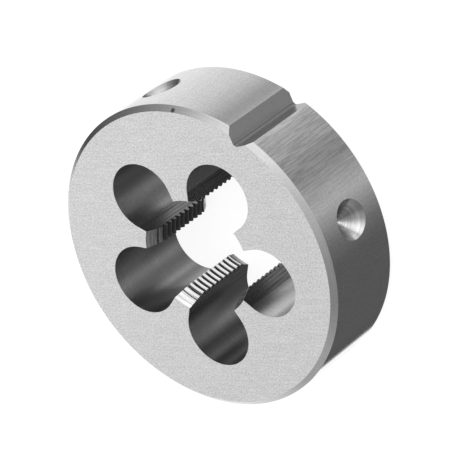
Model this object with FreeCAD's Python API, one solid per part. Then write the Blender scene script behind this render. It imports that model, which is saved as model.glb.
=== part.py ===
import FreeCAD, Part
import os
from math import ceil, cos, pi, radians, sin, tan

# A round threading die, one piece of hardened tool steel, lying on its plain face.
# Millimetres and degrees. +Z is the thread axis, the origin is the centre of the lower face,
# +Y points to the notch in the rim, and the die cuts from either face.

# Driving dimensions
outer_diameter = 45.0
thickness = 14.0
rim_chamfer = 0.75

# Thread: right hand, 16 mm across the roots with a 1 mm pitch and 60 degrees between flanks.
# The root flat is a share of the pitch, and the start angle is where a gap meets the lower face,
# counter-clockwise from the notch.
thread_diameter = 16.0
thread_bore_diameter = 14.9
thread_pitch = 1.0
thread_angle = 60.0
thread_root_share = 0.125
thread_start_angle = 42.5
lead_mouth_diameter = 17.2
lead_depth = 3.0

# Chip holes, and the lands that they leave between them to carry the teeth
chip_hole_count = 5
chip_hole_diameter = 10.0
land_neck_width = 3.05
land_flank_angle = 10.9

# Notch for the spreading screw, across the rim at +Y
notch_width = 4.2
notch_angle = 90.0
notch_root_radius = 0.6

# Cone seats for the screws of the die holder, as angles from the notch
seat_diameter = 5.9
seat_cone_angle = 90.0
closing_seat_angle = 46.5
holding_seat_angle = 133.5

# How far a cutting shape runs past the face that it opens, and how close two places are to be one
overrun = 1.0
same_place = 1e-6

# Derived dimensions
outer_radius = outer_diameter / 2
crest_radius = thread_bore_diameter / 2
root_radius = thread_diameter / 2
chip_hole_radius = chip_hole_diameter / 2
half_step = pi / chip_hole_count
gap_sweep = 180 / chip_hole_count
chip_circle_radius = (chip_hole_radius + land_neck_width / 2) / sin(half_step)
axis = FreeCAD.Vector(0, 0, 1)
centre = FreeCAD.Vector(0, 0, 0)


def point(radius, angle, height=0.0):
    """A point at a radius and an angle in degrees counter-clockwise from the notch."""
    turn = radians(angle)
    return FreeCAD.Vector(-radius * sin(turn), radius * cos(turn), height)


def blank():
    """The turned disc, chamfered at both ends of the rim."""
    inner = outer_radius - rim_chamfer
    corners = [
        (0, 0),
        (inner, 0),
        (outer_radius, rim_chamfer),
        (outer_radius, thickness - rim_chamfer),
        (inner, thickness),
        (0, thickness),
    ]
    section = Part.makePolygon([FreeCAD.Vector(x, 0, z) for x, z in corners + corners[:1]])
    return Part.Face(section).revolve(centre, axis, 360)


def bore():
    """The hole through the crests of the thread."""
    start = FreeCAD.Vector(0, 0, -overrun)
    return Part.makeCylinder(crest_radius, thickness + 2 * overrun, start)


def lead_cone():
    """The cone that shortens the first teeth, opening at the upper face."""
    slope = (lead_mouth_diameter / 2 - crest_radius) / lead_depth
    start = FreeCAD.Vector(0, 0, thickness - lead_depth)
    mouth = crest_radius + slope * (lead_depth + overrun)
    return Part.makeCone(crest_radius, mouth, lead_depth + overrun, start)


def lead_cones():
    """The same cone at both faces."""
    upper = lead_cone()
    lower = upper.mirror(FreeCAD.Vector(0, 0, thickness / 2), axis)
    return [upper, lower]


def tooth_gap():
    """The V between two teeth, swept along the helix for a little more than a land's width."""
    widen = tan(radians(thread_angle / 2))
    root_half = thread_pitch * thread_root_share / 2
    crest_half = thread_pitch / 2 - root_half - (root_radius - crest_radius) * widen
    mouth_half = thread_pitch / 2 - crest_half / 2
    inner = root_radius - (mouth_half - root_half) / widen
    section = Part.makePolygon([
        FreeCAD.Vector(root_radius, 0, -root_half),
        FreeCAD.Vector(root_radius, 0, root_half),
        FreeCAD.Vector(inner, 0, mouth_half),
        FreeCAD.Vector(inner, 0, -mouth_half),
        FreeCAD.Vector(root_radius, 0, -root_half),
    ])
    rise = thread_pitch * gap_sweep / 360
    path = Part.Wire(Part.makeHelix(thread_pitch, rise, crest_radius).Edges)
    gap = path.makePipeShell([section], True, True)
    gap.translate(FreeCAD.Vector(0, 0, -rise / 2))
    gap.rotate(centre, axis, 90 - gap_sweep / 2)
    return gap


def tooth_gaps():
    """All gaps: one for each turn on each land, on one right-hand helix."""
    first = tooth_gap()
    turns = ceil(thickness / thread_pitch) + 1
    gaps = []
    for land in range(chip_hole_count):
        land_angle = (land + 0.5) * 360 / chip_hole_count
        climb = thread_pitch * ((land_angle - thread_start_angle) / 360 % 1)
        for turn in range(-1, turns):
            gap = first.copy()
            gap.rotate(centre, axis, land_angle)
            gap.translate(axis * (climb + turn * thread_pitch))
            gaps.append(gap)
    return gaps


def chip_hole(index):
    """A teardrop hole: a round one whose tangents run in to the bore and flank two lands."""
    tilt = half_step - radians(land_flank_angle)
    touch_x = chip_hole_radius * cos(tilt)
    touch_y = chip_circle_radius - chip_hole_radius * sin(tilt)
    left = FreeCAD.Vector(-touch_x, touch_y, -overrun)
    right = FreeCAD.Vector(touch_x, touch_y, -overrun)
    outermost = FreeCAD.Vector(0, chip_circle_radius + chip_hole_radius, -overrun)
    tip = FreeCAD.Vector(0, chip_circle_radius - chip_hole_radius / sin(tilt), -overrun)
    outline = Part.Wire([
        Part.Arc(right, outermost, left).toShape(),
        Part.LineSegment(left, tip).toShape(),
        Part.LineSegment(tip, right).toShape(),
    ])
    hole = Part.Face(outline).extrude(axis * (thickness + 2 * overrun))
    hole.rotate(centre, axis, 360 * index / chip_hole_count)
    return hole


def notch():
    """A V across the rim with a rounded root."""
    half = radians(notch_angle / 2)
    depth = notch_width / 2 / tan(half)
    spare = overrun / tan(half)
    apex = outer_radius - depth
    outline = Part.makePolygon([
        FreeCAD.Vector(0, apex, -overrun),
        FreeCAD.Vector(notch_width / 2 + overrun, outer_radius + spare, -overrun),
        FreeCAD.Vector(-notch_width / 2 - overrun, outer_radius + spare, -overrun),
        FreeCAD.Vector(0, apex, -overrun),
    ])
    wedge = Part.Face(outline).extrude(axis * (thickness + 2 * overrun))
    root = [edge for edge in wedge.Edges if is_notch_root(edge, apex)]
    return wedge.makeFillet(notch_root_radius, root)


def is_notch_root(edge, apex):
    """Whether an edge is the upright one at the bottom of the V."""
    ends = [vertex.Point for vertex in edge.Vertexes]
    return all(abs(end.x) < same_place and abs(end.y - apex) < same_place for end in ends)


def cone_seat(angle):
    """A pointed seat sunk into the rim at mid thickness, for the tip of a screw."""
    half = radians(seat_cone_angle / 2)
    depth = seat_diameter / 2 / tan(half)
    tip = point(outer_radius - depth, angle, thickness / 2)
    mouth = (depth + overrun) * tan(half)
    return Part.makeCone(0, mouth, depth + overrun, tip, point(1, angle))


def cone_seats():
    """A pair that closes the die and a pair that holds it, each the same on both sides."""
    angles = [closing_seat_angle, -closing_seat_angle, holding_seat_angle, -holding_seat_angle]
    return [cone_seat(angle) for angle in angles]


def threading_die():
    """The whole die."""
    body = blank().cut([bore()] + lead_cones())
    body = body.cut([chip_hole(index) for index in range(chip_hole_count)])
    body = body.cut(tooth_gaps())
    return body.cut([notch()] + cone_seats()).Solids[0]


os.makedirs("parts", exist_ok=True)
die = threading_die()
die.exportStep("parts/threading_die.step")
print("threading_die", die.ShapeType, len(die.Solids), die.isValid(), round(die.Volume, 3))
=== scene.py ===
from math import cos, pi, radians, sin, sqrt, tan

import bpy
import numpy as np
from mathutils import Matrix, Vector
from mathutils.geometry import delaunay_2d_cdt


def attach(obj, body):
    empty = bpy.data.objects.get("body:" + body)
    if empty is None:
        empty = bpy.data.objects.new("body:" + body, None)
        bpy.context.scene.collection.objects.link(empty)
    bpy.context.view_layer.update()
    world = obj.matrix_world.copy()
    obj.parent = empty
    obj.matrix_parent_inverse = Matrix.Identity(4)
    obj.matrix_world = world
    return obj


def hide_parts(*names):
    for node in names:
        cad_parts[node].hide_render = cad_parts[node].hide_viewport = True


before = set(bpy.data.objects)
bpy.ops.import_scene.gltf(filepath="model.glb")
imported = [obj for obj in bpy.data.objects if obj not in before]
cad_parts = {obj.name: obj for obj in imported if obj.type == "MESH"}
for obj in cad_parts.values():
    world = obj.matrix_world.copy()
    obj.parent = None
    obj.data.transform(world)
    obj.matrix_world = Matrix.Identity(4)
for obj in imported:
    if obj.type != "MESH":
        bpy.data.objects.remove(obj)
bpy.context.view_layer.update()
scene = bpy.context.scene

MM = 0.001

# Driving sizes of the die in millimetres and degrees, as in the part's source
OUTER_RADIUS = 22.5
THICKNESS = 14.0
RIM_CHAMFER = 0.75
PITCH = 1.0
THREAD_ANGLE = 60.0
ROOT_SHARE = 0.125
ROOT_RADIUS = 8.0
CREST_RADIUS = 7.45
THREAD_START = 42.5
LEAD_MOUTH_RADIUS = 8.6
FRONT_LEAD_DEPTH = 3.0
HOLE_COUNT = 5
HOLE_RADIUS = 5.0
LAND_NECK = 3.05
LAND_FLANK_ANGLE = 10.9
NOTCH_DEPTH = 2.1
NOTCH_ROOT_RADIUS = 0.6
SEAT_DEPTH = 2.95
SEAT_ANGLES = (46.5, 133.5, -133.5, -46.5)

# Forms that only this script makes: a shallower lead cone at the lower face, and edges that are
# broken round the openings
BACK_LEAD_DEPTH = 2.1
EDGE_BREAK = 0.05

# Sizes that follow. The flats of the notch and the sides of the seats lean by 45 degrees.
MIDDLE_HEIGHT = THICKNESS / 2
FACE_RADIUS = OUTER_RADIUS - RIM_CHAMFER
CHAMFER_RADII = (FACE_RADIUS, (FACE_RADIUS + OUTER_RADIUS) / 2, OUTER_RADIUS)
FLANK_WIDEN = tan(radians(THREAD_ANGLE / 2))
ROOT_HALF = PITCH * ROOT_SHARE / 2
CREST_HALF = ROOT_HALF + (ROOT_RADIUS - CREST_RADIUS) * FLANK_WIDEN
HOLE_STEP = 360 / HOLE_COUNT
HOLE_CIRCLE = (HOLE_RADIUS + LAND_NECK / 2) / sin(radians(HOLE_STEP / 2))
NOTCH_APEX = OUTER_RADIUS - NOTCH_DEPTH
SEAT_TIP_RADIUS = OUTER_RADIUS - SEAT_DEPTH

# How many steps each surface is divided in
RIM_STEPS = 360
RIM_ROWS = 14
WALL_ROWS = 14
WALL_STEPS = 64
LAND_STEPS = 18
FLANK_STEPS = 4
NOTCH_FLAT_STEPS = 3
NOTCH_ROOT_STEPS = 12
SEAT_STEPS = 72
SEAT_RINGS = 8

# Spacing of the rows in the lead cones and of the net of points in flat faces. The net keeps a
# share of its own step away from the outline.
LEAD_ROW = 0.06
NET_STEP = 0.8
NET_MARGIN = 0.6

# The rows of a land are level at a face and follow the helix in full from this depth on.
FOLLOW_DEPTH = 0.9

# Rounds in which a row finds the flank of its land
SIDE_ROUNDS = 30

# What counts as the same place, row or height, and what keeps a division from zero. Points are
# merged in cells, and the shift keeps round values away from the borders of the cells.
MERGE = 1e-4
MERGE_SHIFT = 0.371
SAME_ROW = 2e-3
SAME_HEIGHT = 1e-6
TINY = 1e-9

# Shading of the lands: the share of their roundness that it keeps, how many times as steep the
# lead cones are shaded, and how far below its crest a tooth still has the material of the crest. The
# crest's material is painted light, and the groove's below it painted shade.
LAND_ROUND = 0.4
LEAD_LIFT = 1.45
CREST_SHOULDER = 0.16

# Zones of the surface, in the order of make_materials
FACE, CHAMFER, RIM, WALL, FLANK, CREST, GROOVE, LEAD, NOTCH, SEAT = range(10)


# Places, directions and outlines

UP = np.array([0, 0, 1.0])
MIRRORED = np.array([-1, 1])


def at(radius, angle, height):
    """Points at a radius, an angle in degrees counter-clockwise from the notch, and a height."""
    turn = np.radians(angle)
    x, y, z = np.broadcast_arrays(-radius * np.sin(turn), radius * np.cos(turn), height)
    return np.stack([x, y, z], -1).astype(float)


def unit(vectors):
    """Vectors brought to length one."""
    return vectors / np.maximum(np.linalg.norm(vectors, axis=-1, keepdims=True), TINY)


def turned(xy, angle):
    """Points of a plane turned counter-clockwise."""
    c, s = cos(radians(angle)), sin(radians(angle))
    return xy @ np.array([[c, s], [-s, c]])


def raised(xy, height):
    """Points of a plane at a height."""
    z = np.broadcast_to(height, xy.shape[:-1])
    return np.concatenate([xy, z[..., None]], -1)


def offset(loop, distance):
    """A counter-clockwise loop moved outwards."""
    along = unit(np.roll(loop, -1, 0) - loop)
    out = np.stack([along[:, 1], -along[:, 0]], -1)
    before = np.roll(out, 1, 0)
    return loop + distance * (out + before) / (1 + (out * before).sum(1, keepdims=True))


def run_length(xy):
    """How far along an outline each of its points lies."""
    return np.concatenate([[0], np.cumsum(np.hypot(*np.diff(xy, axis=0).T))])


def inside(points, loops):
    """Which points lie inside the loops, a loop in a loop being a hole."""
    hits = np.zeros(len(points), int)
    for loop in loops:
        for (ax, ay), (bx, by) in zip(loop, np.roll(loop, -1, 0)):
            if ay == by:
                continue
            spans = (points[:, 1] >= min(ay, by)) & (points[:, 1] < max(ay, by))
            x = ax + (points[:, 1] - ay) * (bx - ax) / (by - ay)
            hits += spans & (points[:, 0] < x)
    return hits % 2 == 1


def net(loops):
    """A hexagonal net of points inside the loops."""
    nodes = np.concatenate(loops)
    low, high = nodes.min(0), nodes.max(0)
    rows = np.arange(low[1], high[1], NET_STEP * sqrt(3) / 2)
    columns = np.arange(low[0], high[0], NET_STEP)
    points = np.array([(x + NET_STEP / 2 * (i % 2), y) for i, y in enumerate(rows) for x in columns])
    points = points[inside(points, loops)]
    gap = np.array([np.hypot(*(nodes - point).T).min() for point in points])
    return points[gap > NET_MARGIN * NET_STEP]


def fill(loops, with_net=False):
    """Points and triangles between closed loops in a plane, with a net of points inside if asked."""
    points = np.concatenate(loops)
    if with_net:
        points = np.concatenate([points, net(loops)])
    edges = []
    start = 0
    for loop in loops:
        edges += [(start + i, start + (i + 1) % len(loop)) for i in range(len(loop))]
        start += len(loop)
    found = delaunay_2d_cdt([Vector(point) for point in points], edges, [], 0, TINY)
    corners, origins = found[2:4]
    triangles = np.array([[origins[i][0] for i in corner] for corner in corners])
    kept = inside(points[triangles].mean(1), loops)
    return points, triangles[kept].tolist()


# The surface and its mesh

class Skin:
    """The patches of one closed surface, each with its own corner normals and surface coordinates."""

    def __init__(self):
        self.points = []
        self.normals = []
        self.coords = []
        self.faces = []
        self.zones = []
        self.count = 0

    def add(self, points, normals, coords, faces, zone):
        """Add a patch. Its faces are lists of its own points, and zone is one, or one for each face."""
        points = np.asarray(points, float)
        normals = np.broadcast_to(normals, points.shape)
        self.points.append(points.reshape(-1, 3))
        self.normals.append(normals.reshape(-1, 3))
        self.coords.append(np.asarray(coords, float).reshape(-1, 2))
        self.faces += [[corner + self.count for corner in face] for face in faces]
        self.zones += np.broadcast_to(zone, len(faces)).tolist()
        self.count += len(self.points[-1])

    def grid(self, points, normals, coords, zone):
        """Add a patch of rows and columns."""
        rows, columns = points.shape[:2]
        faces = []
        for i in range(rows - 1):
            for j in range(columns - 1):
                k = i * columns + j
                faces.append((k, k + 1, k + columns + 1, k + columns))
        self.add(points, normals, coords, faces, zone)

    def outward(self, points, normals, same):
        """The faces that the merge leaves, turned to the side of their normals, and their zones."""
        faces = []
        zones = []
        for face, zone in zip(self.faces, self.zones):
            kept = [corner for i, corner in enumerate(face) if same[corner] != same[face[i - 1]]]
            if len(kept) < 3:
                continue
            p = points[kept]
            area = np.cross(p - p[0], np.roll(p, -1, 0) - p[0]).sum(0)
            if area @ normals[kept].sum(0) < 0:
                kept.reverse()
            faces.append(kept)
            zones.append(zone)
        return faces, zones

    def build(self, name, materials):
        """One mesh of all patches, joined where their points meet."""
        points = np.concatenate(self.points)
        normals = unit(np.concatenate(self.normals))
        coords = np.concatenate(self.coords)
        cells = np.floor(points / MERGE + MERGE_SHIFT).astype(np.int64)
        _, first, same = np.unique(cells, axis=0, return_index=True, return_inverse=True)
        same = same.ravel()
        faces, zones = self.outward(points, normals, same)
        corners = [corner for face in faces for corner in face]
        used = np.unique(same[corners])
        place = np.full(len(first), -1)
        place[used] = np.arange(len(used))
        mesh = bpy.data.meshes.new(name)
        mesh.from_pydata((points[first[used]] * MM).tolist(), [],
                         [place[same[face]].tolist() for face in faces])
        dress(mesh, materials, zones, coords[corners], normals[corners])
        return linked(name, mesh)


def dress(mesh, materials, zones, coords, normals):
    """Give a mesh its materials by zone, its surface coordinates and its corner normals."""
    for material in materials:
        mesh.materials.append(material)
    mesh.polygons.foreach_set("material_index", zones)
    mesh.polygons.foreach_set("use_smooth", [True] * len(zones))
    layer = mesh.uv_layers.new(name="surface")
    layer.data.foreach_set("uv", coords.ravel())
    mesh.normals_split_custom_set(normals.tolist())
    mesh.validate()


def linked(name, data):
    """A new object in the scene."""
    thing = bpy.data.objects.new(name, data)
    scene.collection.objects.link(thing)
    return thing


# Chip holes and the flanks of the lands

# All are drawn in the frame of the hole at the notch. TOUCH is where the round of that hole runs
# out in its left flank, and TIP is where its flanks would meet.
TILT = HOLE_STEP / 2 - LAND_FLANK_ANGLE
TOUCH = np.array([-HOLE_RADIUS * cos(radians(TILT)), HOLE_CIRCLE - HOLE_RADIUS * sin(radians(TILT))])
TIP = np.array([0.0, HOLE_CIRCLE - HOLE_RADIUS / sin(radians(TILT))])
ALONG = unit(TIP - TOUCH)
FLANK_NORMAL = np.array([-ALONG[1], ALONG[0]])


def flank_reach(radius):
    """How far along the flank from TOUCH a radius is met."""
    b = TOUCH @ ALONG
    return -b - np.sqrt(b * b - TOUCH @ TOUCH + np.square(radius))


def flank_turn(radius):
    """The angle of that point, from the middle of the hole."""
    point = TOUCH + np.multiply.outer(flank_reach(radius), ALONG)
    return np.degrees(np.arctan2(-point[..., 0], point[..., 1]))


def wall_heights():
    """Heights of the rows in a hole, between its broken edges."""
    return np.linspace(EDGE_BREAK, THICKNESS - EDGE_BREAK, WALL_ROWS + 1)


def flank(skin, hole_angle, side, teeth):
    """The flat side of a land, from the round of the hole to the teeth. side 1 is the hole's left."""
    heights = wall_heights()
    share = np.linspace(0, 1, FLANK_STEPS + 1)[1:-1]
    low, high = teeth[0], teeth[-1]
    bottom = np.stack([low[0] * share, np.full(len(share), low[1])], -1)
    top = np.stack([high[0] * share[::-1], np.full(len(share), high[1])], -1)
    touch = np.stack([np.zeros(len(heights)), heights[::-1]], -1)
    points, faces = fill([np.concatenate([bottom, teeth, top, touch])])
    mirror = np.array([side, 1])
    xy = (TOUCH + points[:, :1] * ALONG) * mirror
    normal = FLANK_NORMAL * mirror
    place = raised(turned(xy, hole_angle), points[:, 1])
    skin.add(place, raised(turned(normal[None], hole_angle), 0.0), points, faces, FLANK)


def hole_round(hole_angle):
    """The round part of a hole from its right flank to its left one: points, normals and lengths."""
    turn = np.radians(np.linspace(-TILT, 180 + TILT, WALL_STEPS + 1))
    away = np.stack([np.cos(turn), np.sin(turn)], -1)
    xy = np.array([0, HOLE_CIRCLE]) + HOLE_RADIUS * away
    return turned(xy, hole_angle), turned(-away, hole_angle), turn * HOLE_RADIUS


def wall(skin, hole_angle):
    """The drilled wall of a hole."""
    xy, normals, along = hole_round(hole_angle)
    heights = wall_heights()
    rows = [raised(xy, z) for z in heights]
    coords = [np.stack([along, np.full(len(along), z)], -1) for z in heights]
    skin.grid(np.array(rows), raised(normals, 0.0)[None], np.array(coords), WALL)


def mouth_loop(height):
    """The opening's outline at a height, counter-clockwise, with the wall's normals."""
    mouth = float(land_radius(0.0, height))
    reach = flank_reach(mouth)
    turn = flank_turn(mouth)
    left = TOUCH + np.multiply.outer(np.linspace(0, 1, FLANK_STEPS + 1) * reach, ALONG)
    right = left * MIRRORED
    points = []
    normals = []
    for index in range(HOLE_COUNT):
        angle = index * HOLE_STEP
        xy, inward, _ = hole_round(angle)
        arc = np.linspace(angle + turn, angle + HOLE_STEP - turn, LAND_STEPS + 1)
        points += [
            turned(right[::-1], angle)[:-1],
            xy,
            turned(left, angle)[1:],
            at(mouth, arc, 0)[1:-1, :2],
        ]
        normals += [
            np.repeat(turned(FLANK_NORMAL[None] * MIRRORED, angle), FLANK_STEPS, 0),
            inward,
            np.repeat(turned(FLANK_NORMAL[None], angle), FLANK_STEPS, 0),
            -at(1.0, arc, 0)[1:-1, :2],
        ]
    return np.concatenate(points), np.concatenate(normals)


# The toothed faces of the lands

def land_shape(angle, z):
    """Radii of the thread and of the lead cones."""
    phase = (z - PITCH * (angle - THREAD_START) / 360 + PITCH / 2) % PITCH - PITCH / 2
    thread = ROOT_RADIUS - (np.abs(phase) - ROOT_HALF) / FLANK_WIDEN
    thread = np.clip(thread, CREST_RADIUS, ROOT_RADIUS)
    share = np.minimum(z / BACK_LEAD_DEPTH, (THICKNESS - z) / FRONT_LEAD_DEPTH)
    cone = CREST_RADIUS + (LEAD_MOUTH_RADIUS - CREST_RADIUS) * (1 - share)
    return thread, cone


def land_radius(angle, z):
    """The toothed surface of the lands: the thread, cut short by the lead cones."""
    return np.maximum(*land_shape(angle, z))


def land_zone(angle, z):
    """Which part of the toothed surface a place is on."""
    thread, cone = land_shape(angle, z)
    zone = np.where(thread > CREST_RADIUS + CREST_SHOULDER, GROOVE, CREST)
    return np.where(cone > thread, LEAD, zone)


def land_rows(middle):
    """Heights of the rows at the middle of a land: every corner of the thread, and more in the lead."""
    climb = PITCH * (middle - THREAD_START) / 360 % PITCH
    shoulder = CREST_HALF - CREST_SHOULDER * FLANK_WIDEN
    rows = [climb + turn * PITCH + side for turn in range(-1, int(THICKNESS) + 1)
            for side in (-CREST_HALF, -shoulder, -ROOT_HALF, ROOT_HALF, shoulder, CREST_HALF)]
    back = np.arange(EDGE_BREAK, BACK_LEAD_DEPTH, LEAD_ROW)
    front = THICKNESS - np.arange(EDGE_BREAK, FRONT_LEAD_DEPTH, LEAD_ROW)
    rows = np.concatenate([rows, back, front])
    rows = np.sort(rows[(rows > EDGE_BREAK) & (rows < THICKNESS - EDGE_BREAK)])
    rows = np.concatenate([[EDGE_BREAK], rows, [THICKNESS - EDGE_BREAK]])
    keep = np.concatenate([[True], np.diff(rows) > SAME_ROW])
    keep[-1] = True
    return rows[keep]


def row_follow(rows):
    """The share of the helix that each row follows, from none at a face to all of it."""
    depth = np.minimum(rows, THICKNESS - rows)
    share = np.clip((depth - EDGE_BREAK) / FOLLOW_DEPTH, 0, 1)
    return share * share * (3 - 2 * share)


def helix_rise(turn, follow):
    """How much a row climbs over a turn in degrees."""
    return PITCH * turn / 360 * follow


def land_side(rows, follow, middle, side):
    """Angle, height and radius at which each row meets one flank of its land."""
    radius = np.full(len(rows), ROOT_RADIUS)
    for _ in range(SIDE_ROUNDS):
        angle = middle + side * (HOLE_STEP / 2 - flank_turn(radius))
        height = rows + helix_rise(angle - middle, follow)
        radius = land_radius(angle, height)
    return angle, height, radius


def land_strip(skin, middle, follow, angle, height, radius):
    """The strip between two rows of a land, left out where they lie at one height."""
    rise = height[1] - height[0]
    if np.abs(rise).max() < SAME_HEIGHT:
        return
    slope = (radius[1] - radius[0]) / np.maximum(rise, TINY)
    twist = -slope * PITCH / (2 * pi) / radius.mean(0) * follow
    shade = middle + (angle - middle) * LAND_ROUND
    out = at(1.0, shade, 0.0)
    around = at(1.0, shade + 90, 0.0)
    normals = -out + around * twist[None, :, None] + UP * slope[None, :, None]
    middle_angle = (angle[:, :-1] + angle[:, 1:]).mean(0) / 2
    middle_height = (height[:, :-1] + height[:, 1:]).mean(0) / 2
    zone = land_zone(middle_angle, middle_height)
    if (zone == LEAD).all():
        normals = normals + UP * (LEAD_LIFT - 1) * slope[None, :, None]
    coords = np.stack([np.radians(angle) * CREST_RADIUS, height], -1)
    skin.grid(at(radius, angle, height), normals, coords, zone)


def land(skin, middle):
    """The toothed face of one land. Returns the (distance, height) nodes of both its side edges."""
    rows = land_rows(middle)
    follow = row_follow(rows)
    sides = [land_side(rows, follow, middle, side) for side in (-1, 1)]
    share = np.linspace(0, 1, LAND_STEPS + 1)
    angle = sides[0][0][:, None] * (1 - share) + sides[1][0][:, None] * share
    height = rows[:, None] + helix_rise(angle - middle, follow[:, None])
    radius = land_radius(angle, height)
    for i in range(len(rows) - 1):
        pair = slice(i, i + 2)
        land_strip(skin, middle, follow[i], angle[pair], height[pair], radius[pair])
    return [np.stack([flank_reach(radius), height], -1) for _, height, radius in sides]


# The notch

def notch_turn(radius):
    """The angle from the notch's middle at which its flat meets a radius."""
    x = (-NOTCH_APEX + np.sqrt(2 * np.square(radius) - NOTCH_APEX ** 2)) / 2
    return np.degrees(np.arctan2(x, x + NOTCH_APEX))


def notch_section():
    """Outline of the notch from its +X edge to its -X edge, with normals."""
    edge = [at(radius, -float(notch_turn(radius)), 0)[:2] for radius in CHAMFER_RADII[::-1]]
    tangent = NOTCH_ROOT_RADIUS * cos(pi / 4)
    start = np.array([tangent, NOTCH_APEX + tangent])
    steps = [step / NOTCH_FLAT_STEPS for step in range(1, NOTCH_FLAT_STEPS)]
    right = np.array(edge + [edge[-1] * (1 - share) + start * share for share in steps])
    turn = np.radians(np.linspace(-45, -135, NOTCH_ROOT_STEPS + 1))
    away = np.stack([np.cos(turn), np.sin(turn)], -1)
    centre = np.array([0, NOTCH_APEX + NOTCH_ROOT_RADIUS * sqrt(2)])
    points = np.concatenate([right, centre + NOTCH_ROOT_RADIUS * away, right[::-1] * MIRRORED])
    flat = np.tile(np.array([-1, 1]) / sqrt(2), (len(right), 1))
    normals = np.concatenate([flat, -away, flat * MIRRORED])
    return points, normals


def notch(skin):
    """The V across the rim, its ends cut to the slope of the chamfers."""
    xy, normals = notch_section()
    cut = np.maximum(np.hypot(*xy.T) - FACE_RADIUS, 0)
    share = np.linspace(0, 1, RIM_ROWS + 1)[:, None]
    heights = cut * (1 - share) + (THICKNESS - cut) * share
    points = raised(np.broadcast_to(xy, heights.shape + (2,)), heights)
    coords = np.stack([np.broadcast_to(run_length(xy), heights.shape), heights], -1)
    skin.grid(points, raised(normals, 0.0)[None], coords, NOTCH)


# Faces, chamfers, rim and cone seats

def rim_angles(radius):
    """Angles round the die from one edge of the notch to the other."""
    start = float(notch_turn(radius))
    return np.linspace(start, 360 - start, RIM_STEPS + 1)


def chamfer(skin, level, up):
    """The chamfer at one face. up is 1 for the upper face and -1 for the lower one."""
    points = []
    normals = []
    coords = []
    for radius in CHAMFER_RADII:
        angle = rim_angles(radius)
        points.append(at(radius, angle, level - up * (radius - FACE_RADIUS)))
        normals.append(at(1.0, angle, 1.0 * up))
        coords.append(np.stack([np.radians(angle) * radius, np.full(len(angle), radius)], -1))
    skin.grid(np.array(points), np.array(normals), np.array(coords), CHAMFER)


def face(skin, level, up):
    """The ground face, and the narrow broken edge round its opening."""
    broken = level - up * EDGE_BREAK
    opening, wall_normals = mouth_loop(broken)
    loop = offset(opening, EDGE_BREAK)
    section, _ = notch_section()
    ends = len(CHAMFER_RADII)
    outer = at(FACE_RADIUS, rim_angles(FACE_RADIUS), 0)[:, :2]
    outer = np.concatenate([outer, section[ends:-ends]])
    points, faces = fill([outer, loop], with_net=True)
    skin.add(raised(points, level), up * UP, points, faces, FACE)
    ring = np.append(np.arange(len(loop)), 0)
    edge = np.array([raised(opening[ring], broken), raised(loop[ring], level)])
    shades = np.array([raised(wall_normals[ring], 0.0), np.tile(up * UP, (len(ring), 1))])
    skin.grid(edge, shades, np.array([loop[ring], loop[ring]]), FACE)


def seat_edge(turn):
    """How far out of its tip a cone seat meets the rim, at turns about the seat's axis."""
    a = 1 + np.cos(turn) ** 2
    b = 2 * SEAT_TIP_RADIUS
    c = SEAT_TIP_RADIUS ** 2 - OUTER_RADIUS ** 2
    return (-b + np.sqrt(b * b - 4 * a * c)) / (2 * a)


def seat(skin, angle):
    """One cone seat in the rim."""
    turn = np.linspace(0, 2 * pi, SEAT_STEPS + 1)
    out = at(1.0, angle, 0.0)
    around = at(1.0, angle + 90, 0.0)
    spoke = np.cos(turn)[:, None] * around + np.sin(turn)[:, None] * UP
    reach = np.linspace(0, 1, SEAT_RINGS + 1)[:, None] * seat_edge(turn)
    tip = SEAT_TIP_RADIUS * out + MIDDLE_HEIGHT * UP
    points = tip + reach[..., None] * (out + spoke)
    coords = np.stack([np.broadcast_to(turn, reach.shape), reach], -1)
    skin.grid(points, (out - spoke)[None], coords, SEAT)


def seat_loop(angle):
    """The mouth of a cone seat, as angles and heights on the rim."""
    turn = np.linspace(0, 2 * pi, SEAT_STEPS, endpoint=False)
    depth = seat_edge(turn)
    swing = np.degrees(np.arctan2(depth * np.cos(turn), SEAT_TIP_RADIUS + depth))
    return np.stack([angle % 360 + swing, MIDDLE_HEIGHT + depth * np.sin(turn)], -1)


def rim(skin):
    """The ground rim between the chamfers, open at the notch and at the cone seats."""
    angle = rim_angles(OUTER_RADIUS)
    heights = np.linspace(RIM_CHAMFER, THICKNESS - RIM_CHAMFER, RIM_ROWS + 1)
    low = np.stack([angle, np.full(len(angle), heights[0])], -1)
    high = np.stack([angle[::-1], np.full(len(angle), heights[-1])], -1)
    right = np.stack([np.full(RIM_ROWS - 1, angle[-1]), heights[1:-1]], -1)
    left = np.stack([np.full(RIM_ROWS - 1, angle[0]), heights[-2:0:-1]], -1)
    loops = [np.concatenate([low, right, high, left])]
    loops += [seat_loop(place) for place in SEAT_ANGLES]
    scale = np.array([radians(1) * OUTER_RADIUS, 1.0])
    points, faces = fill([loop * scale for loop in loops], with_net=True)
    angle = points[:, 0] / scale[0]
    skin.add(at(OUTER_RADIUS, angle, points[:, 1]), at(1.0, angle, 0.0), points, faces, RIM)


def die(materials):
    """The whole die, one closed mesh."""
    skin = Skin()
    for level, up in ((THICKNESS, 1), (0.0, -1)):
        face(skin, level, up)
        chamfer(skin, level, up)
    rim(skin)
    notch(skin)
    for place in SEAT_ANGLES:
        seat(skin, place)
    for index in range(HOLE_COUNT):
        angle = index * HOLE_STEP
        wall(skin, angle)
        before, after = land(skin, angle + HOLE_STEP / 2)
        flank(skin, angle, 1, before)
        flank(skin, angle + HOLE_STEP, -1, after)
    return skin.build("threading_die_steel", materials)


# Node trees

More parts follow.
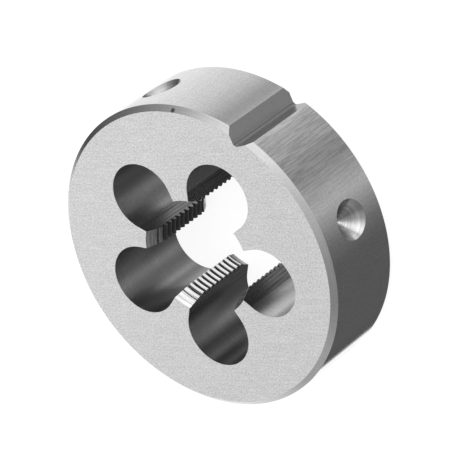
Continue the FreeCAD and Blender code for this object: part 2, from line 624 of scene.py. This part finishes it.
class Nodes:
    """A short way to write a node tree."""

    def __init__(self, tree):
        self.tree = tree
        tree.nodes.clear()

    def new(self, kind, **settings):
        """A node with its settings."""
        node = self.tree.nodes.new(kind)
        for key, value in settings.items():
            setattr(node, key, value)
        return node

    def put(self, node, **values):
        """Values or links into a node, by the socket's name or by its number as in i0."""
        for key, value in values.items():
            socket = node.inputs[int(key[1:]) if key[0] == "i" and key[1:].isdigit() else key]
            if isinstance(value, bpy.types.NodeSocket):
                self.tree.links.new(value, socket)
            else:
                socket.default_value = value
        return node

    def math(self, operation, a, b=0.0):
        """One operation on one or two values."""
        return self.put(self.new("ShaderNodeMath", operation=operation), i0=a, i1=b).outputs[0]

    def vector(self, operation, a, b):
        """One operation on two vectors."""
        return self.put(self.new("ShaderNodeVectorMath", operation=operation), i0=a, i1=b)

    def split(self, vector):
        """The three parts of a vector."""
        return self.put(self.new("ShaderNodeSeparateXYZ"), i0=vector).outputs

    def stretch(self, vector, x, y, z=1.0):
        """A vector with its parts multiplied."""
        return self.vector("MULTIPLY", vector, (x, y, z)).outputs[0]

    def turned(self, vector, angle):
        """Places seen from axes turned counter-clockwise about z."""
        node = self.new("ShaderNodeVectorRotate", rotation_type="Z_AXIS")
        return self.put(node, Vector=vector, Angle=-radians(angle)).outputs[0]

    def step(self, value, low, high, to_low=0.0, to_high=1.0):
        """A smooth step from one value to another between low and high."""
        node = self.new("ShaderNodeMapRange", interpolation_type="SMOOTHSTEP")
        return self.put(node, i0=value, i1=low, i2=high, i3=to_low, i4=to_high).outputs[0]

    def mix(self, first, second, share):
        """The first value, moved to the second by a share."""
        way = self.math("SUBTRACT", second, first)
        return self.math("ADD", first, self.math("MULTIPLY", share, way))

    def blend(self, *parts):
        """The sum of values, each with its share."""
        total = 0.0
        for value, share in parts:
            total = self.math("ADD", self.math("MULTIPLY", value, share), total)
        return total

    def noise(self, vector, scale=1.0, detail=2.0, roughness=0.6):
        """A random value about 0.5."""
        node = self.new("ShaderNodeTexNoise")
        return self.put(node, Vector=vector, Scale=scale, Detail=detail, Roughness=roughness).outputs[0]

    def lines(self, vector, first, second, detail=2.0):
        """Noise that changes that often in a millimetre of the first and of the second coordinate."""
        return self.noise(self.stretch(vector, first, second), detail=detail)

    def output(self, kind, shader):
        """The output node at the end of a tree."""
        self.put(self.new(kind), Surface=shader.outputs[0])


# Grain of the steel

# A pattern takes the nodes, the surface coordinates and the place, both in millimetres, and gives
# a value about this middle.
GRAIN_MIDDLE = 0.5

# How often long lines change in a millimetre of their own direction
LONG = 0.08

# The direction of the grinding lines on the face, in degrees counter-clockwise from +X
GRINDING_ANGLE = 37.1

# Where the streaks on the rim grow to their full strength, in millimetres round it from the
# notch, and their strength before that
STREAK_GROWTH = (126.0, 134.0)
FAINT_STREAKS = 0.12


def satin(n, uv, place):
    """A mottled grain with faint straight lines from grinding."""
    fine = n.noise(place, scale=4.0)
    broad = n.noise(place, scale=0.8, roughness=0.5)
    grinding = n.lines(n.turned(place, GRINDING_ANGLE), 0.15, 5.0)
    return n.blend((fine, 0.7), (broad, 0.1), (grinding, 0.2))


def rings(n, uv, place):
    """Fine lines along the first surface coordinate."""
    marks = n.lines(uv, LONG, 8.0, detail=3.0)
    fine = n.noise(place, scale=3.0)
    return n.blend((marks, 0.6), (fine, 0.4))


def streaks(n, uv, place):
    """Fine lines along the second surface coordinate."""
    marks = n.lines(uv, 3.0, LONG)
    fine = n.noise(place, scale=3.0)
    return n.blend((marks, 0.65), (fine, 0.35))


def scratches(first, second):
    """Strong lines, with the changes in a millimetre of each surface coordinate."""
    def pattern(n, uv, place):
        marks = n.math("SUBTRACT", n.lines(uv, first, second), GRAIN_MIDDLE)
        fine = n.noise(place, scale=3.0)
        return n.blend((marks, 2.0), (fine, 0.3), (GRAIN_MIDDLE, 0.7))
    return pattern


def ground(n, uv, place):
    """A fine grain, and lines along the axis that are strongest just before the notch."""
    share = n.step(n.split(uv)[0], *STREAK_GROWTH, FAINT_STREAKS, 1.0)
    across = n.math("SUBTRACT", n.lines(uv, 5.0, 0.2), GRAIN_MIDDLE)
    around = n.lines(uv, LONG, 8.0, detail=3.0)
    fine = n.noise(place, scale=4.5)
    return n.blend((around, 0.3), (fine, 0.7), (n.math("MULTIPLY", across, share), 2.4))


# Tones set by place, mostly painted light and shade

# A tone takes what a pattern takes, and gives a factor for the steel's tone. Most tones here are
# painted light and shade. On the faces the painted light changes by this much from the middle to either
# side.
FACE_PAINTED_LIGHT_SLOPE = 0.045


def face_painted_light_slope(n, uv, place):
    """Painted light: a little lighter towards -X."""
    return n.step(n.split(place)[0], -OUTER_RADIUS, OUTER_RADIUS, 1 + FACE_PAINTED_LIGHT_SLOPE, 1 - FACE_PAINTED_LIGHT_SLOPE)


# The x between which the painted shade of the land at -X gives way to the tone of the others
PAINTED_SHADE_LAND_END = (-5.5, -3.5)


def land_painted_shade(share):
    """Painted shade: darker on the land at the -X side, whose teeth look dark in the photo."""
    def tone(n, uv, place):
        return n.step(n.split(place)[0], *PAINTED_SHADE_LAND_END, share, 1.0)
    return tone


# Half the length of the notch's outline, then places along it from there in millimetres, and tones of
# painted shade
NOTCH_MIDDLE = float(run_length(notch_section()[0])[-1] / 2)
NOTCH_LINE = 0.05
NOTCH_LINE_REACH = (0.05, 0.5)
NOTCH_LINE_TONE = 0.5
NOTCH_SIDE_END = (-0.6, 0.0)
NOTCH_SIDE_TONE = 0.75


def notch_painted_shade(n, uv, place):
    """Painted shade: darker on the flat at +X, and darkest along a line beside the root."""
    side = n.math("SUBTRACT", n.split(uv)[0], NOTCH_MIDDLE)
    away = n.math("ABSOLUTE", n.math("SUBTRACT", side, NOTCH_LINE))
    line = n.step(away, *NOTCH_LINE_REACH, NOTCH_LINE_TONE, 1.0)
    return n.math("MULTIPLY", line, n.step(side, *NOTCH_SIDE_END, NOTCH_SIDE_TONE, 1.0))


# In the seats at +X, the lit direction about the seat's axis and how far its light reaches, in
# degrees, and the painted shade away from it. Then the painted shade of the seats at -X, and the x
# between the two.
SEAT_LIT_TURN = 200.0
SEAT_LIT_REACH = (22.0, 55.0)
SEAT_DARK_TONE = 0.55
LEFT_SEAT_TONE = 0.75
LEFT_SEATS_END = (-1.0, 1.0)


def seat_painted_shade(n, uv, place):
    """Painted shade: darker away from the lit side of the seats at +X, and even in those at -X."""
    away = n.math("ABSOLUTE", n.math("SUBTRACT", n.split(uv)[0], radians(SEAT_LIT_TURN)))
    near, far = [radians(angle) for angle in SEAT_LIT_REACH]
    right = n.step(away, near, far, 1.0, SEAT_DARK_TONE)
    return n.step(n.split(place)[0], *LEFT_SEATS_END, LEFT_SEAT_TONE, right)


# Spots, each as x, y, z and reach in millimetres, and the tone in its middle. The core is the
# share of the reach that has this tone in full. The spots on the walls and flanks are painted light and
# shade.
CHAMFER_PIT = (
    (-10.35, 19.45, 13.8, 0.45, 0.2),
)
WALL_PAINTED_LIGHT_AND_SHADE = (
    (6.5, -14.0, 0.0, 3.0, 0.3),
    (13.1, -0.9, 0.0, 3.2, 1.8),
    (-6.5, -14.0, 0.0, 3.0, 0.85),
)
FLANK_PAINTED_LIGHT_AND_SHADE = (
    (-8.9, -1.3, 0.0, 3.5, 0.8),
    (8.9, -1.3, 0.0, 3.5, 0.6),
    (-4.0, 8.2, 0.0, 3.5, 0.5),
    (-1.6, -7.8, 0.0, 2.0, 2.2),
)
SPOT_CORE = 0.4


def spots(places, through=True):
    """Tones about spots, which run from face to face, or are round if through is false."""
    heights = 0.0 if through else 1.0

    def tone(n, uv, place):
        total = 1.0
        place = n.stretch(place, 1.0, 1.0, heights)
        for x, y, z, reach, share in places:
            away = n.vector("DISTANCE", place, (x, y, z * heights)).outputs["Value"]
            total = n.math("MULTIPLY", n.step(away, reach * SPOT_CORE, reach, share, 1.0), total)
        return total
    return tone


# Materials, one for each zone

# The range of a grain that is drawn out to the full spread of tone and roughness
GRAIN_RANGE = (0.2, 0.8)


def steel(name, shade, rough, pattern, height=0.001, tone=None):
    """Bare steel. shade and rough are a middle and a spread, and height is the grain's, in mm."""
    material = bpy.data.materials.new(name)
    material.use_nodes = True
    n = Nodes(material.node_tree)
    uv = n.new("ShaderNodeUVMap", uv_map="surface").outputs[0]
    place = n.new("ShaderNodeTexCoord").outputs["Object"]
    place = n.stretch(place, 1 / MM, 1 / MM, 1 / MM)
    grain = pattern(n, uv, place)
    grey = n.step(grain, *GRAIN_RANGE, shade[0] - shade[1], shade[0] + shade[1])
    if tone:
        grey = n.math("MULTIPLY", grey, tone(n, uv, place))
    colour = n.put(n.new("ShaderNodeCombineColor"), i0=grey, i1=grey, i2=grey).outputs[0]
    matt = n.step(grain, *GRAIN_RANGE, rough[0] + rough[1], rough[0] - rough[1])
    bump = n.put(n.new("ShaderNodeBump"), Strength=1.0, Distance=height * MM, Height=grain).outputs[0]
    shader = n.new("ShaderNodeBsdfPrincipled")
    n.put(shader, **{"Base Color": colour, "Metallic": 1.0, "Roughness": matt, "Normal": bump})
    n.output("ShaderNodeOutputMaterial", shader)
    return material


def ground_face():
    """The two faces, fine ground, with a painted light gradient across them."""
    return steel("ground_face", shade=(0.77, 0.22), rough=(0.38, 0.05), pattern=satin,
                 height=0.003, tone=face_painted_light_slope)


def turned_chamfer():
    """The chamfers, with the marks of the lathe and a pit in the upper one."""
    return steel("turned_chamfer", shade=(0.66, 0.09), rough=(0.25, 0.04), pattern=rings,
                 tone=spots(CHAMFER_PIT, through=False))


def ground_rim():
    """The rim between the chamfers."""
    return steel("ground_rim", shade=(0.76, 0.14), rough=(0.13, 0.03), pattern=ground)


def drilled_wall():
    """The round walls of the chip holes, with marks that run round them, and patches of painted light
    and shade.
    """
    return steel("drilled_wall", shade=(0.38, 0.05), rough=(0.30, 0.05), pattern=rings,
                 tone=spots(WALL_PAINTED_LIGHT_AND_SHADE))


def ground_flank():
    """The flat sides of the lands, with marks from face to face, and patches of painted light and
    shade.
    """
    return steel("ground_flank", shade=(0.38, 0.14), rough=(0.30, 0.05),
                 pattern=scratches(3.5, LONG), tone=spots(FLANK_PAINTED_LIGHT_AND_SHADE))


def thread_crest():
    """The crests of the teeth and the upper part of their flanks, painted light against the dark
    groove, with painted shade on the land at -X.
    """
    return steel("thread_crest", shade=(0.95, 0.04), rough=(0.14, 0.03), pattern=streaks,
                 tone=land_painted_shade(0.35))


def thread_groove():
    """The lower part of the flanks and the roots, painted dark as shade in the thread."""
    return steel("thread_groove", shade=(0.15, 0.03), rough=(0.42, 0.05), pattern=rings)


def lead_cone():
    """The lead cones, with marks that run round them, and painted shade on the land at -X."""
    return steel("lead_cone", shade=(0.80, 0.18), rough=(0.24, 0.04),
                 pattern=scratches(0.15, 3.5), tone=land_painted_shade(0.5))


def milled_notch():
    """The notch, with marks that run across it, and painted shade beside its root and on its flat at
    +X.
    """
    return steel("milled_notch", shade=(0.58, 0.06), rough=(0.30, 0.04), pattern=rings,
                 tone=notch_painted_shade)


def turned_seat():
    """The cone seats, with marks that run round them, and painted shade away from the lit side."""
    return steel("turned_seat", shade=(0.75, 0.16), rough=(0.24, 0.04),
                 pattern=scratches(0.15, 2.5), tone=seat_painted_shade)


def make_materials():
    """The materials in the order of the zones."""
    return [
        ground_face(),
        turned_chamfer(),
        ground_rim(),
        drilled_wall(),
        ground_flank(),
        thread_crest(),
        thread_groove(),
        lead_cone(),
        milled_notch(),
        turned_seat(),
    ]


# Light

# Two rings of light, as stops of azimuth, in degrees counter-clockwise from +X, and level. To the
# photo's camera all upright surfaces mirror the low ring, the rim its azimuth 64 in front and -116
# at both ends. The lead cones and most of the chamfer mirror the high ring or what is above it.
LOW_LIGHT = (
    (-180, 1.07), (-160, 1.18), (-140, 1.16), (-130, 1.4), (-118, 1.15), (-108, 1.15), (-100, 1.4),
    (-92, 1.5), (-87, 0.10), (-68, 0.14), (0, 0.15), (16, 0.23), (28, 0.40), (40, 0.64),
    (52, 0.53), (66, 0.38), (76, 0.42), (88, 0.54), (103, 0.60), (109, 0.95), (114, 1.2),
    (121, 1.3), (125, 0.8), (129, 0.55), (136, 0.50), (148, 0.76), (160, 0.94), (180, 1.07),
)
HIGH_LIGHT = (
    (-180, 0.28), (-162, 0.17), (-150, 0.05), (-137, 0.10), (-120, 0.7), (-105, 1.18), (-90, 1.2),
    (-81, 1.1), (-66, 0.60), (-45, 0.65), (-10, 0.47), (10, 0.43), (32, 0.74), (60, 0.91),
    (80, 1.2), (95, 1.5), (125, 1.35), (137, 1.15), (149, 0.74), (160, 0.50), (171, 0.40),
    (180, 0.28),
)
RAMP_TOP = max(level for _, level in LOW_LIGHT + HIGH_LIGHT)

# Heights on the unit sphere where the low ring gives way to the high one, and where it gives way
# to a dark underside
RING_CHANGE = (-0.39, -0.27)
UNDER_CHANGE = (-0.80, -0.92)
UNDER_LEVEL = 0.20

# A bright panel overhead and a dark card beside it, as the direction of the middle, half angles in
# degrees where it starts and where it is full, and the level
PANEL_DIRECTION = (-0.25, -0.50, 0.83)
PANEL_REACH = (50, 32)
PANEL_LEVEL = 1.05
CARD_DIRECTION = (0.50, -0.38, 0.78)
CARD_REACH = (30, 14)
CARD_LEVEL = 0.08

# The background that the camera sees
WHITE = 1.0


def ring_light(n, azimuth, levels):
    """The level of one ring of light, where azimuth is a share of the full turn from -180 degrees."""
    node = n.new("ShaderNodeValToRGB")
    elements = node.color_ramp.elements
    while len(elements) < len(levels):
        elements.new(0.5)
    for element, (angle, level) in zip(elements, levels):
        element.position = (angle + 180) / 360
        element.color = (level / RAMP_TOP,) * 3 + (1.0,)
    n.put(node, i0=azimuth)
    return n.math("MULTIPLY", node.outputs[0], RAMP_TOP)


def disc_light(n, direction, centre, reach):
    """The share of a soft round light in each direction."""
    facing = n.vector("DOT_PRODUCT", direction, tuple(Vector(centre).normalized())).outputs["Value"]
    outer, inner = [cos(radians(angle)) for angle in reach]
    return n.step(facing, outer, inner)


def light_world():
    """The studio as a world whose light depends on the direction alone, white to the camera."""
    world = bpy.data.worlds.new("studio")
    scene.world = world
    world.use_nodes = True
    n = Nodes(world.node_tree)
    direction = n.new("ShaderNodeTexCoord").outputs["Generated"]
    x, y, z = n.split(direction)
    azimuth = n.math("ADD", n.math("DIVIDE", n.math("ARCTAN2", y, x), 2 * pi), 0.5)
    low = ring_light(n, azimuth, LOW_LIGHT)
    high = ring_light(n, azimuth, HIGH_LIGHT)
    level = n.mix(low, high, n.step(z, *RING_CHANGE))
    level = n.mix(level, PANEL_LEVEL, disc_light(n, direction, PANEL_DIRECTION, PANEL_REACH))
    level = n.mix(level, CARD_LEVEL, disc_light(n, direction, CARD_DIRECTION, CARD_REACH))
    level = n.mix(level, UNDER_LEVEL, n.step(z, *UNDER_CHANGE))
    level = n.mix(level, WHITE, n.new("ShaderNodeLightPath").outputs["Is Camera Ray"])
    back = n.put(n.new("ShaderNodeBackground"), Strength=level)
    n.output("ShaderNodeOutputWorld", back)


# Floor

# Half its width and its level just below the die, in metres, the glow that the camera sees, and
# how pale it is where light falls
FLOOR_HALF = 3.0
FLOOR_LEVEL = -0.02 * MM
FLOOR_GLOW = 0.87
FLOOR_SHADE = 0.35


def pale_floor():
    """A grey that takes shadows, with a glow that only the camera sees."""
    material = bpy.data.materials.new("pale_floor")
    material.use_nodes = True
    n = Nodes(material.node_tree)
    seen = n.new("ShaderNodeLightPath").outputs["Is Camera Ray"]
    shade = n.put(n.new("ShaderNodeBsdfDiffuse"), Color=(FLOOR_SHADE,) * 3 + (1.0,))
    glow = n.put(n.new("ShaderNodeEmission"), Strength=n.math("MULTIPLY", seen, FLOOR_GLOW))
    both = n.put(n.new("ShaderNodeAddShader"), i0=shade.outputs[0], i1=glow.outputs[0])
    n.output("ShaderNodeOutputMaterial", both)
    return material


def make_floor():
    """The floor, which the steel doesn't mirror."""
    mesh = bpy.data.meshes.new("floor")
    h = FLOOR_HALF
    mesh.from_pydata([(-h, -h, 0), (h, -h, 0), (h, h, 0), (-h, h, 0)], [], [(0, 1, 2, 3)])
    mesh.materials.append(pale_floor())
    floor = linked("floor", mesh)
    floor.location.z = FLOOR_LEVEL
    floor.visible_glossy = False


# Camera

# Fitted to the photo: the point that it aims at, where it stands as seen from there, its roll
# about the line of sight, and its lens, in millimetres and degrees
CAMERA_AIM = (1.446, 1.017, 7.0)
CAMERA_AZIMUTH = 64.354
CAMERA_ELEVATION = 44.107
CAMERA_ROLL = -126.487
CAMERA_DISTANCE = 504.73
CAMERA_LENS = 281.48
CAMERA_SENSOR = 36.0

# Distances in metres between which the camera sees
CAMERA_CLIP = (0.01, 20.0)


def make_camera():
    """The camera of the photo."""
    data = bpy.data.cameras.new("camera")
    data.lens = CAMERA_LENS
    data.sensor_width = CAMERA_SENSOR
    data.clip_start, data.clip_end = CAMERA_CLIP
    camera = linked("camera", data)
    camera.matrix_world = (
        Matrix.Translation(Vector(CAMERA_AIM) * MM)
        @ Matrix.Rotation(radians(CAMERA_AZIMUTH + 90), 4, "Z")
        @ Matrix.Rotation(radians(90 - CAMERA_ELEVATION), 4, "X")
        @ Matrix.Rotation(radians(CAMERA_ROLL), 4, "Z")
        @ Matrix.Translation((0, 0, CAMERA_DISTANCE * MM))
    )
    scene.camera = camera


piece = die(make_materials())
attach(piece, "root")
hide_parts("threading_die")
light_world()
make_floor()
make_camera()
scene.view_settings.view_transform = "Standard"
